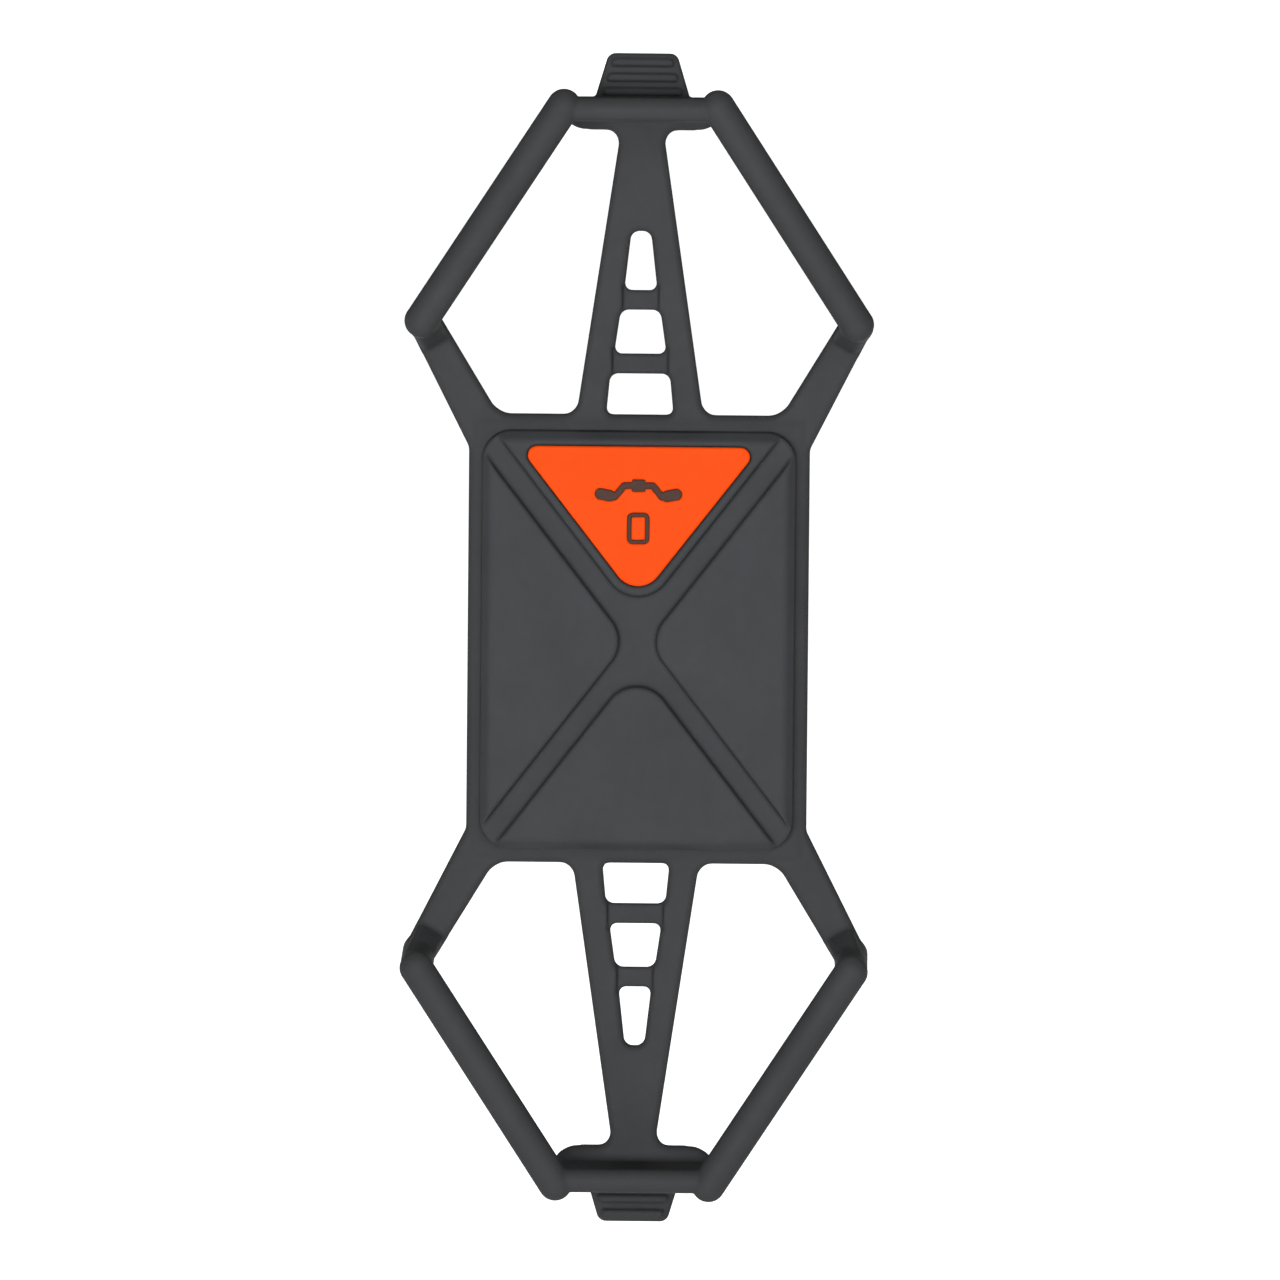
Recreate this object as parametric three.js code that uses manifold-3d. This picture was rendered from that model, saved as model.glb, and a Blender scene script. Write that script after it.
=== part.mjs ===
// Phone handlebar mount: a stretchy one-size phone harness on a swivelling strap-on bar base.
//
// Units are millimetres and +Z is up. The handlebar runs along X through the origin.
// The phone side faces -Y: the bar base wraps the origin and the harness stands in front of it.
// The harness is one elastomer moulding. It is cut here where it bends and where it stretches,
// so each end loop can peel back over a phone's end and pull outwards.

import * as THREE from "three";
import { mergeVertices } from "three/addons/utils/BufferGeometryUtils.js";
import Module from "manifold-3d";

const wasm = await Module();
wasm.setup();

// ---------------------------------------------------------------- driving dimensions

const GAP = 0.3; // clearance between two pieces that touch on the real object
const SEGMENTS = 32; // facets around a round piece

const BAR_R = 11.1; // a 22.2 mm motorcycle handlebar
const PAD_THICK = 2.2; // rubber saddle between the bar and the base
const PAD_HALF_ANGLE = 48; // degrees of bar that the saddle covers each way
const PAD_HALF_WIDTH = 11.4;

const BAND_THICK = 2.4; // strap round the bar
const BAND_HALF_WIDTH = 9;
const CUTTER = 20; // half length of the cutting tools, well past the part
const BAND_MID_R = BAR_R + GAP + BAND_THICK / 2;

const BASE_HALF_WIDTH = 12;
const BASE_HALF_HEIGHT = 11.1;
const BASE_NECK_Y = -20.3; // where the block meets the round flange
const BASE_FRONT_Y = -23.3; // face that the turntable turns on
const FLANGE_R = 15;

const COVER_BOSS_Y = BASE_FRONT_Y - GAP;
const COVER_BACK_Y = -27.6;
const COVER_FRONT_Y = -30.1;
const COVER_HALF_X = 20.4;
const COVER_HALF_Z = 27.4;

const FRAME_BACK_Y = COVER_FRONT_Y - GAP;
const FRAME_THICK = 3.6;
const FRAME_FRONT_Y = FRAME_BACK_Y - FRAME_THICK;
const FRAME_HALF_X = 23.76;
const FRAME_HALF_Z = 31.4;

const PANEL_BACK_Y = FRAME_FRONT_Y - GAP;
const PANEL_FRONT_Y = PANEL_BACK_Y - 3.3; // face of the four pads
const CHANNEL_DEPTH = 1.2;
const PANEL_HALF_X = 22;
const PANEL_HALF_Z = 29.4;
const PANEL_BEVEL = 1.2;
const PANEL_CORNER_R = 4.2;

const STRAP_THICK = 3;
const STRAP_MID_Y = FRAME_BACK_Y - FRAME_THICK / 2;
const STRAP_BACK_Y = STRAP_MID_Y + STRAP_THICK / 2;
const HINGE_Z = FRAME_HALF_Z + GAP + STRAP_THICK / 2; // axis about which an end loop peels

const TUBE_R = 2.35;
const TUBE_Y = -46.1; // front plane, one phone thickness ahead of the pads
const TUBE_LOW = [30.3, 45.2]; // x and z of the tube's ball over the corner post
const TUBE_HIGH = [10.7, 75.3]; // x and z of the tube's ball at the end ledge
const CROSSBAR_R = 1.65;
const CROSSBAR_Z = 74.8;

const LEDGE_Z = [73.3, 75.5]; // inner and outer face of the wall that holds the phone's end
const LEDGE_HALF_X = 10.6;
const TAB_END_Z = 82;

// ---------------------------------------------------------------- materials

const material = (color, roughness, metalness = 0) =>
  new THREE.MeshStandardMaterial({ color, roughness, metalness });
const ELASTOMER = 0x4a4c4f;
const silicone = () => material(ELASTOMER, 0.72);
const panelRubber = () => material(0x484a4d, 0.68);
const hardPlastic = () => material(0x2b2d2f, 0.5);
const badgeOrange = () => material(0xfd5522, 0.45);
const rubber = () => material(0x1f2021, 0.85);
const steel = () => material(0x9a9c9e, 0.32, 1);
const brass = () => material(0xb08d4a, 0.35, 1);

// ---------------------------------------------------------------- solids and frames

const AXIS_X = new THREE.Vector3(1, 0, 0);
const AXIS_Y = new THREE.Vector3(0, 1, 0);
const AXIS_Z = new THREE.Vector3(0, 0, 1);
const BACK_TO_FRONT = new THREE.Vector3(0, -1, 0);

function toSolid(geometry) {
  const bare = geometry.clone();
  bare.deleteAttribute("normal");
  bare.deleteAttribute("uv");
  const merged = mergeVertices(bare, 1e-4);
  return new wasm.Manifold(
    new wasm.Mesh({
      numProp: 3,
      vertProperties: new Float32Array(merged.attributes.position.array),
      triVerts: new Uint32Array(merged.index.array),
    }),
  );
}

function toGeometry(solid) {
  const mesh = solid.getMesh();
  const geometry = new THREE.BufferGeometry();
  geometry.setAttribute("position", new THREE.BufferAttribute(new Float32Array(mesh.vertProperties), 3));
  geometry.setIndex(new THREE.BufferAttribute(new Uint32Array(mesh.triVerts), 1));
  geometry.computeVertexNormals();
  return geometry;
}

const cut = (geometry, ...tools) =>
  toGeometry(tools.reduce((left, tool) => left.subtract(toSolid(tool)), toSolid(geometry)));
const join = (geometry, ...others) =>
  toGeometry(others.reduce((left, other) => left.add(toSolid(other)), toSolid(geometry)));
const keepWithin = (geometry, region) => toGeometry(toSolid(geometry).intersect(toSolid(region)));

// An outline in (x, z), extruded from yBack towards the phone.
function plate(outline, yBack, thickness) {
  const geometry = new THREE.ExtrudeGeometry(outline, { depth: thickness, bevelEnabled: false, curveSegments: 8 });
  geometry.applyMatrix4(new THREE.Matrix4().makeBasis(AXIS_X, AXIS_Z, BACK_TO_FRONT));
  return geometry.translate(0, yBack, 0);
}

// An outline in (y, z), extruded along X about the middle plane.
function slice(outline, xLow, xHigh, curveSegments = 8) {
  const geometry = new THREE.ExtrudeGeometry(outline, {
    depth: xHigh - xLow,
    bevelEnabled: false,
    curveSegments,
  });
  geometry.applyMatrix4(new THREE.Matrix4().makeBasis(AXIS_Y, AXIS_Z, AXIS_X));
  return geometry.translate(xLow, 0, 0);
}

const box = (xLow, xHigh, yLow, yHigh, zLow, zHigh) =>
  new THREE.BoxGeometry(xHigh - xLow, yHigh - yLow, zHigh - zLow).translate(
    (xLow + xHigh) / 2,
    (yLow + yHigh) / 2,
    (zLow + zHigh) / 2,
  );

// Round bars: along X at (y, z), along Y at (x, z), along Z at (x, y).
const barX = (radius, xLow, xHigh, y, z, segments = SEGMENTS) =>
  new THREE.CylinderGeometry(radius, radius, xHigh - xLow, segments)
    .rotateZ(Math.PI / 2)
    .translate((xLow + xHigh) / 2, y, z);
const barY = (radius, x, yLow, yHigh, z, segments = SEGMENTS) =>
  new THREE.CylinderGeometry(radius, radius, yHigh - yLow, segments).translate(x, (yLow + yHigh) / 2, z);
const barZ = (radius, x, y, zLow, zHigh, segments = SEGMENTS) =>
  new THREE.CylinderGeometry(radius, radius, zHigh - zLow, segments)
    .rotateX(Math.PI / 2)
    .translate(x, y, (zLow + zHigh) / 2);

// A closed outline through corner points, each [a, b, radius], with tangent arcs at the corners.
function roundedOutline(corners) {
  const count = corners.length;
  const points = corners.map(([a, b]) => new THREE.Vector2(a, b));
  const shape = new THREE.Shape();
  corners.forEach(([, , radius = 0], i) => {
    const here = points[i];
    const before = points[(i + count - 1) % count].clone().sub(here).normalize();
    const after = points[(i + 1) % count].clone().sub(here).normalize();
    if (radius === 0) {
      if (i === 0) shape.moveTo(here.x, here.y);
      else shape.lineTo(here.x, here.y);
      return;
    }
    const halfAngle = Math.acos(before.dot(after)) / 2;
    const reach = radius / Math.tan(halfAngle);
    const start = here.clone().addScaledVector(before, reach);
    const end = here.clone().addScaledVector(after, reach);
    const bisector = before.clone().add(after).normalize();
    const centre = here.clone().addScaledVector(bisector, radius / Math.sin(halfAngle));
    const from = start.clone().sub(centre).angle();
    const to = end.clone().sub(centre).angle();
    const clockwise = before.cross(after) > 0;
    if (i === 0) shape.moveTo(start.x, start.y);
    else shape.lineTo(start.x, start.y);
    shape.absarc(centre.x, centre.y, radius, from, to, clockwise);
  });
  shape.closePath();
  return shape;
}

const roundedBox = (halfA, halfB, radius) =>
  roundedOutline([
    [-halfA, -halfB, radius],
    [halfA, -halfB, radius],
    [halfA, halfB, radius],
    [-halfA, halfB, radius],
  ]);

const mount = new THREE.Group();
function add(name, geometry, surface, group = mount) {
  const mesh = new THREE.Mesh(geometry, surface);
  mesh.name = name;
  group.add(mesh);
}

// ---------------------------------------------------------------- bar base

const RING_GROOVE = { inner: 8.7, outer: 11.5, floorY: -21.9 };
const BOLT = { shankR: 2.5, headR: 4.4, headBackY: -14.4, headFrontY: -17.2, tipY: -29 };
const BOLT_SEAT_Y = -18.3;
const PIN = { r: 1.2, y: -15.4, z: 13.8 };
const EYE_R = 2.4;
const EAR_INNER_X = BAND_HALF_WIDTH + 0.4;
const PEG = { r: 1.5, y: -11.5, tipZ: -14.7 };

function baseHousing() {
  const block = plate(roundedBox(BASE_HALF_WIDTH, BASE_HALF_HEIGHT, 2), -7, -7 - BASE_NECK_Y + 1);
  const flange = barY(FLANGE_R, 0, BASE_FRONT_Y, BASE_NECK_Y, 0, 48);
  const earOutline = () =>
    roundedOutline([
      [PIN.y - 3.2, BASE_HALF_HEIGHT - 2, 0],
      [PIN.y - 2.6, PIN.z + 2.4, 2.2],
      [PIN.y + 2.6, PIN.z + 2.4, 2.2],
      [PIN.y + 3.6, BASE_HALF_HEIGHT - 2, 0],
    ]);
  const ears = [-1, 1].map((side) =>
    slice(earOutline(), side > 0 ? EAR_INNER_X : -BASE_HALF_WIDTH, side > 0 ? BASE_HALF_WIDTH : -EAR_INNER_X),
  );
  const peg = join(
    barZ(PEG.r, 0, PEG.y, PEG.tipZ + 0.6, -BASE_HALF_HEIGHT + 2, 24),
    new THREE.CylinderGeometry(PEG.r, PEG.r - 0.6, 0.6, 24).rotateX(Math.PI / 2).translate(0, PEG.y, PEG.tipZ + 0.3),
  );
  const solid = join(block, flange, ...ears, peg);
  const groove = cut(
    barY(RING_GROOVE.outer, 0, BASE_FRONT_Y - 1, RING_GROOVE.floorY, 0, 48),
    barY(RING_GROOVE.inner, 0, BASE_FRONT_Y - 2, RING_GROOVE.floorY + 1, 0, 48),
  );
  return cut(
    solid,
    barX(BAR_R + PAD_THICK + GAP, -CUTTER, CUTTER, 0, 0, 72),
    barY(BOLT.shankR + 0.1, 0, BASE_FRONT_Y - 1, -10, 0),
    barY(BOLT.headR + 0.5, 0, BOLT_SEAT_Y, -10, 0),
    barX(PIN.r + 0.1, -CUTTER, CUTTER, PIN.y, PIN.z, 24),
    groove,
  );
}

function saddlePad() {
  const half = THREE.MathUtils.degToRad(PAD_HALF_ANGLE);
  const outline = new THREE.Shape();
  outline.absarc(0, 0, BAR_R + PAD_THICK, Math.PI - half, Math.PI + half, false);
  outline.absarc(0, 0, BAR_R, Math.PI + half, Math.PI - half, true);
  outline.closePath();
  const grooves = [-0.6, -0.3, 0, 0.3, 0.6].map((angle) =>
    barX(0.5, -CUTTER, CUTTER, -BAR_R * Math.cos(angle), BAR_R * Math.sin(angle), 12),
  );
  return cut(slice(outline, -PAD_HALF_WIDTH, PAD_HALF_WIDTH, 24), ...grooves);
}

function strapBand() {
  const outer = BAND_MID_R + BAND_THICK / 2;
  const inner = BAND_MID_R - BAND_THICK / 2;
  const outline = new THREE.Shape();
  outline.moveTo(PIN.y, inner);
  outline.lineTo(0, inner);
  outline.absarc(0, 0, inner, Math.PI / 2, -Math.PI / 2, true);
  outline.absarc(0, 0, outer, -Math.PI / 2, Math.PI / 2, false);
  outline.lineTo(PIN.y, outer);
  outline.closePath();
  const band = slice(outline, -BAND_HALF_WIDTH, BAND_HALF_WIDTH, 20);
  const eye = barX(EYE_R, -BAND_HALF_WIDTH, BAND_HALF_WIDTH, PIN.y, PIN.z, 28);
  return cut(join(band, eye), barX(PIN.r + 0.1, -CUTTER, CUTTER, PIN.y, PIN.z, 24));
}

const TAIL = { hingeY: -1.6, endY: -19, holeR: 1.95 };

function strapTail() {
  const low = -BAND_MID_R - BAND_THICK / 2;
  const high = -BAND_MID_R + BAND_THICK / 2;
  const outline = roundedOutline([
    [-BAND_HALF_WIDTH, TAIL.hingeY, 0],
    [BAND_HALF_WIDTH, TAIL.hingeY, 0],
    [BAND_HALF_WIDTH, TAIL.endY + 3, 0],
    [BAND_HALF_WIDTH - 1.4, TAIL.endY, 2.4],
    [-BAND_HALF_WIDTH + 1.4, TAIL.endY, 2.4],
    [-BAND_HALF_WIDTH, TAIL.endY + 3, 0],
  ]);
  const slab = new THREE.ExtrudeGeometry(outline, { depth: high - low, bevelEnabled: false }).translate(0, 0, low);
  const root = barX(BAND_THICK / 2, -BAND_HALF_WIDTH, BAND_HALF_WIDTH, TAIL.hingeY, -BAND_MID_R, 24);
  const holes = [PEG.y, PEG.y + 5.2].map((y) => barZ(TAIL.holeR, 0, y, low - 1, high + 1, 24));
  const gripRibs = [0, 1, 2].map((row) => {
    const y = TAIL.endY + 1.3 + row * 1.5;
    return box(-CUTTER, CUTTER, y - 0.35, y + 0.35, low - 1, low + 0.5);
  });
  return cut(join(slab, root), ...holes, ...gripRibs);
}

const ringBetween = (inner, outer, yLow, yHigh, segments = 48) =>
  cut(barY(outer, 0, yLow, yHigh, 0, segments), barY(inner, 0, yLow - 1, yHigh + 1, 0, segments));

function pivotBolt() {
  const head = barY(BOLT.headR, 0, BOLT.headFrontY, BOLT.headBackY, 0);
  const shank = barY(BOLT.shankR, 0, BOLT.tipY, BOLT.headFrontY + 1, 0);
  const hexSocket = barY(1.7, 0, BOLT.headBackY - 1.8, BOLT.headBackY + 1, 0, 6);
  return cut(join(head, shank), hexSocket);
}

add("base_housing", baseHousing(), hardPlastic());
add("saddle_pad", saddlePad(), rubber());
add("strap_band", strapBand(), silicone());
add("strap_tail", strapTail(), silicone());
add("anchor_pin", barX(PIN.r, -BASE_HALF_WIDTH, BASE_HALF_WIDTH, PIN.y, PIN.z, 24), steel());
add("friction_ring", ringBetween(9, 11.2, BASE_FRONT_Y - 0.15, RING_GROOVE.floorY - 0.2), rubber());
add("spring_washer", ringBetween(BOLT.shankR + 0.3, BOLT.headR, BOLT_SEAT_Y + 0.1, BOLT.headFrontY - 0.2), steel());
add("pivot_bolt", pivotBolt(), steel());

// ---------------------------------------------------------------- swivelling cradle

const INSERT = { r: 3.6, backY: -24, frontY: -29.2 };
const SCREW_X = 12.5;
const SCREW_Z = 18.5;
const SCREW = { r: 1.3, headR: 2.6, headThick: 1.2, tipY: -33.2 };
const CORE_HALF_X = 16.5;
const CORE_HALF_Z = 22.5;
const CORE_CORNER_R = 4;
const CORE_FRONT_Y = -33.8;

const screwSpots = [
  [-SCREW_X, SCREW_Z],
  [SCREW_X, SCREW_Z],
  [SCREW_X, -SCREW_Z],
  [-SCREW_X, -SCREW_Z],
];

function backCover() {
  const base = plate(roundedBox(COVER_HALF_X, COVER_HALF_Z, 5), COVER_BACK_Y, COVER_BACK_Y - COVER_FRONT_Y);
  const boss = barY(FLANGE_R, 0, COVER_FRONT_Y + 1, COVER_BOSS_Y, 0, 48);
  const screwHoles = screwSpots.flatMap(([x, z]) => [
    barY(SCREW.r + 0.2, x, COVER_FRONT_Y - 1, COVER_BACK_Y + 1, z, 20),
    barY(SCREW.headR + 0.2, x, COVER_BACK_Y - SCREW.headThick - 0.2, COVER_BACK_Y + 1, z, 24),
  ]);
  return cut(
    join(base, boss),
    barY(INSERT.r + 0.1, 0, INSERT.frontY - 0.1, COVER_BOSS_Y + 1, 0),
    ...screwHoles,
  );
}

function corePlate() {
  const core = plate(roundedBox(CORE_HALF_X, CORE_HALF_Z, CORE_CORNER_R), FRAME_BACK_Y, FRAME_BACK_Y - CORE_FRONT_Y);
  return cut(core, ...screwSpots.map(([x, z]) => barY(SCREW.r + 0.1, x, SCREW.tipY - 0.2, FRAME_BACK_Y + 1, z, 20)));
}

function coverScrew(x, z) {
  const headFront = COVER_BACK_Y - SCREW.headThick;
  const head = barY(SCREW.headR, x, headFront, COVER_BACK_Y, z, 24);
  const shank = barY(SCREW.r, x, SCREW.tipY, headFront + 0.5, z, 20);
  const hexSocket = barY(1.1, x, COVER_BACK_Y - 0.8, COVER_BACK_Y + 1, z, 6);
  return cut(join(head, shank), hexSocket);
}

// Side straps leave the frame's corners on lines fixed by their edges at two heights.
const STRAP_EDGE = {
  inner: { x: 20.93, slope: 0.608 },
  outer: { x: 26.95, slope: 0.558 },
  z: 33.3,
};
const edgeX = (edge, z) => STRAP_EDGE[edge].x + (z - STRAP_EDGE.z) * STRAP_EDGE[edge].slope;

// The frame with its four corner wings, which carry the side straps' roots.
function harnessFrame() {
  const wingFootZ = STRAP_EDGE.z - (STRAP_EDGE.outer.x - FRAME_HALF_X) / STRAP_EDGE.outer.slope;
  const wingX = edgeX("outer", FRAME_HALF_Z);
  const outline = roundedOutline([
    [-wingX, FRAME_HALF_Z, 0],
    [-FRAME_HALF_X, wingFootZ, 1.5],
    [-FRAME_HALF_X, -wingFootZ, 1.5],
    [-wingX, -FRAME_HALF_Z, 0],
    [wingX, -FRAME_HALF_Z, 0],
    [FRAME_HALF_X, -wingFootZ, 1.5],
    [FRAME_HALF_X, wingFootZ, 1.5],
    [wingX, FRAME_HALF_Z, 0],
  ]);
  const opening = roundedBox(CORE_HALF_X + GAP, CORE_HALF_Z + GAP, CORE_CORNER_R + GAP);
  return cut(
    plate(outline, FRAME_BACK_Y, FRAME_THICK),
    plate(opening, FRAME_BACK_Y + 1, FRAME_THICK + 2),
  );
}

// The X-shaped channel: each arm's two edges are parallel lines, stated by their distance
// from the panel's centre along the arm's normal.
const ARM_ANGLE = THREE.MathUtils.degToRad(52.2);
const SIDE_PAD_EDGE = -1.1;
const END_PAD_EDGE = 2.2;
const SIDE_TIP_R = 4.5;
const END_TIP_R = 4.7;

function sidePadOutline(side) {
  const outerX = PANEL_HALF_X + 1;
  const tipX = SIDE_PAD_EDGE / Math.sin(ARM_ANGLE);
  const outerZ = (SIDE_PAD_EDGE + outerX * Math.sin(ARM_ANGLE)) / Math.cos(ARM_ANGLE);
  return roundedOutline([
    [-side * tipX, 0, SIDE_TIP_R],
    [side * outerX, outerZ, 0],
    [side * outerX, -outerZ, 0],
  ]);
}

function endPadOutline(end) {
  const outerZ = PANEL_HALF_Z + 1;
  const tipZ = END_PAD_EDGE / Math.cos(ARM_ANGLE);
  const outerX = (outerZ * Math.cos(ARM_ANGLE) - END_PAD_EDGE) / Math.sin(ARM_ANGLE);
  return roundedOutline([
    [0, end * tipZ, END_TIP_R],
    [outerX, end * outerZ, 0],
    [-outerX, end * outerZ, 0],
  ]);
}

const BADGE = { halfX: 16.9, topZ: 27.2, tipZ: 5.2, cornerR: 1.35, tipR: 3.5, thick: 0.9 };
const badgeOutline = (grow) =>
  roundedOutline([
    [-BADGE.halfX - 2 * grow, BADGE.topZ + grow, BADGE.cornerR],
    [BADGE.halfX + 2 * grow, BADGE.topZ + grow, BADGE.cornerR],
    [0, BADGE.tipZ - 1.6 * grow, BADGE.tipR],
  ]);

function facePanel() {
  const height = PANEL_BACK_Y - PANEL_FRONT_Y;
  const top = roundedBox(PANEL_HALF_X - PANEL_BEVEL, PANEL_HALF_Z - PANEL_BEVEL, PANEL_CORNER_R - PANEL_BEVEL);
  const bevelled = new THREE.ExtrudeGeometry(top, {
    depth: height,
    bevelSize: PANEL_BEVEL,
    bevelThickness: height - 0.6,
    bevelSegments: 1,
    curveSegments: 8,
  });
  bevelled.applyMatrix4(new THREE.Matrix4().makeBasis(AXIS_X, AXIS_Z, BACK_TO_FRONT));
  bevelled.translate(0, PANEL_FRONT_Y + 2 * height - 0.6, 0);
  const frustum = keepWithin(bevelled, box(-40, 40, PANEL_FRONT_Y - 1, PANEL_BACK_Y, -40, 40));
  const pads = [
    plate(sidePadOutline(-1), PANEL_BACK_Y, height + 2),
    plate(sidePadOutline(1), PANEL_BACK_Y, height + 2),
    plate(endPadOutline(-1), PANEL_BACK_Y, height + 2),
    plate(endPadOutline(1), PANEL_BACK_Y, height + 2),
  ];
  const aboveFloor = box(-30, 30, PANEL_FRONT_Y - 1, PANEL_FRONT_Y + CHANNEL_DEPTH, -36, 36);
  const recess = plate(badgeOutline(0.15), PANEL_FRONT_Y + BADGE.thick, BADGE.thick + 1);
  return cut(frustum, cut(aboveFloor, ...pads), recess);
}

add("back_cover", backCover(), hardPlastic());
add("threaded_insert", ringBetween(BOLT.shankR + 0.1, INSERT.r, INSERT.frontY, INSERT.backY, 32), brass());
add("core_plate", corePlate(), hardPlastic());
screwSpots.forEach(([x, z], i) => add(`cover_screw_${i + 1}`, coverScrew(x, z), steel()));
add("harness_frame", harnessFrame(), silicone());
add("face_panel", facePanel(), panelRubber());
add("badge", plate(badgeOutline(0), PANEL_FRONT_Y + BADGE.thick - 0.1, BADGE.thick), badgeOrange());

// ---------------------------------------------------------------- end loops

const LEG = { rootHalfX: 8.6, slope: 0.148, z: 33.3 };
const legX = (z) => LEG.rootHalfX - (z - LEG.z) * LEG.slope;
const LADDER_END_Z = 60;
const SIDE_STRAP_END_Z = 40;
const LOOP_ROOT_Z = FRAME_HALF_Z + GAP;

// Slots between the ladder's rungs: bottom, top, half-widths there, and corner radius.
const SLOTS = [
  { low: FRAME_HALF_Z - 1, high: 37.2, lowHalf: 4.7, highHalf: 4.15, r: 1.1 },
  { low: 40, high: 46, lowHalf: 3.65, highHalf: 2.75, r: 1.1 },
  { low: 48.9, high: 57, lowHalf: 2.3, highHalf: 1.4, r: 1.1 },
];
const RUNG_RECESS = 1;

// A strap's root is round about the peel axis, so it can turn against the frame's flat edge.
function roundRoot(geometry) {
  const round = barX(STRAP_THICK / 2, -40, 40, STRAP_MID_Y, HINGE_Z, 32);
  const beyond = box(-40, 40, STRAP_MID_Y - 5, STRAP_MID_Y + 5, HINGE_Z, 90);
  return keepWithin(geometry, join(round, beyond));
}

function ladderStrap() {
  const outline = roundedOutline([
    [-legX(LOOP_ROOT_Z), LOOP_ROOT_Z, 0],
    [legX(LOOP_ROOT_Z), LOOP_ROOT_Z, 0],
    [legX(LADDER_END_Z), LADDER_END_Z, 0],
    [-legX(LADDER_END_Z), LADDER_END_Z, 0],
  ]);
  const slots = SLOTS.map(({ low, high, lowHalf, highHalf, r }) =>
    plate(
      roundedOutline([
        [-lowHalf, low, r],
        [lowHalf, low, r],
        [highHalf, high, r],
        [-highHalf, high, r],
      ]),
      STRAP_BACK_Y + 1,
      STRAP_THICK + 2,
    ),
  );
  const recessBetween = (lowSlot, highSlot) =>
    box(
      -highSlot.lowHalf,
      highSlot.lowHalf,
      STRAP_BACK_Y - STRAP_THICK - 1,
      STRAP_BACK_Y - STRAP_THICK + RUNG_RECESS,
      lowSlot.high - 0.5,
      highSlot.low + 0.5,
    );
  const recesses = [recessBetween(SLOTS[0], SLOTS[1]), recessBetween(SLOTS[1], SLOTS[2])];
  return roundRoot(cut(plate(outline, STRAP_BACK_Y, STRAP_THICK), ...slots, ...recesses));
}

function sideStrap(side) {
  const outline = roundedOutline([
    [side * edgeX("inner", LOOP_ROOT_Z), LOOP_ROOT_Z, 0],
    [side * edgeX("outer", LOOP_ROOT_Z), LOOP_ROOT_Z, 0],
    [side * edgeX("outer", SIDE_STRAP_END_Z), SIDE_STRAP_END_Z, 0],
    [side * edgeX("inner", SIDE_STRAP_END_Z), SIDE_STRAP_END_Z, 0],
  ]);
  return roundRoot(plate(outline, STRAP_BACK_Y, STRAP_THICK));
}

// The strap's last stretch and the round post that brings it forward to the tube.
function cornerPost(side) {
  const startZ = SIDE_STRAP_END_Z + GAP;
  const [postX, postZ] = TUBE_LOW;
  const foot = roundedOutline([
    [side * edgeX("inner", startZ), startZ, 0],
    [side * edgeX("outer", startZ), startZ, 0],
    [side * (postX + 2.6), postZ - 1.4, 1.8],
    [side * (postX + 0.8), postZ + 2.6, 2],
    [side * (postX - 2.8), postZ + 1.2, 1.6],
  ]);
  const post = barY(TUBE_R - 0.1, side * postX, TUBE_Y + TUBE_R + GAP, STRAP_BACK_Y - 1, postZ, 24);
  return join(plate(foot, STRAP_BACK_Y, STRAP_THICK), post);
}

function roundTube(side) {
  const low = new THREE.Vector3(side * TUBE_LOW[0], TUBE_Y, TUBE_LOW[1]);
  const high = new THREE.Vector3(side * TUBE_HIGH[0], TUBE_Y, TUBE_HIGH[1]);
  const along = high.clone().sub(low);
  const turn = new THREE.Quaternion().setFromUnitVectors(AXIS_Y, along.clone().normalize());
  const middle = low.clone().add(high).multiplyScalar(0.5);
  const tube = new THREE.CapsuleGeometry(TUBE_R, along.length(), 5, 20);
  return tube.applyQuaternion(turn).translate(middle.x, middle.y, middle.z);
}

const NECK_FILLET = 2.6;
const WEB_Z = 71.4; // inner edge of the web
const WEB_CORNER_X = 8.9;
const WEB_SIDE_Z = 73.2; // where the web's sloping shoulder meets its side
const NECK_END_X = legX(WEB_Z);

function neckWeb() {
  const startZ = LADDER_END_Z + GAP;
  const outline = roundedOutline([
    [-legX(startZ), startZ, 0],
    [legX(startZ), startZ, 0],
    [NECK_END_X, WEB_Z, NECK_FILLET],
    [WEB_CORNER_X, WEB_Z, 0.8],
    [LEDGE_HALF_X, WEB_SIDE_Z, 0.8],
    [LEDGE_HALF_X, LEDGE_Z[1], 0],
    [-LEDGE_HALF_X, LEDGE_Z[1], 0],
    [-LEDGE_HALF_X, WEB_SIDE_Z, 0.8],
    [-WEB_CORNER_X, WEB_Z, 0.8],
    [-NECK_END_X, WEB_Z, NECK_FILLET],
  ]);
  return plate(outline, STRAP_BACK_Y, STRAP_THICK);
}

function ledge() {
  const outline = roundedOutline([
    [-LEDGE_HALF_X, LEDGE_Z[0], 0.9],
    [LEDGE_HALF_X, LEDGE_Z[0], 0.9],
    [LEDGE_HALF_X, LEDGE_Z[1], 0.9],
    [-LEDGE_HALF_X, LEDGE_Z[1], 0.9],
  ]);
  const backY = STRAP_BACK_Y - STRAP_THICK - GAP;
  return plate(outline, backY, backY - (TUBE_Y + TUBE_R + GAP));
}

function crossbar() {
  const half = TUBE_HIGH[0] - TUBE_R - GAP;
  return barX(CROSSBAR_R, -half, half, TUBE_Y, CROSSBAR_Z, 24);
}

const TAB = { rootHalfX: 6.5, endHalfX: 4.8, cornerR: 0.9, firstGrooveZ: 77.5, groovePitch: 2.1, grooveR: 0.45 };

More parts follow.
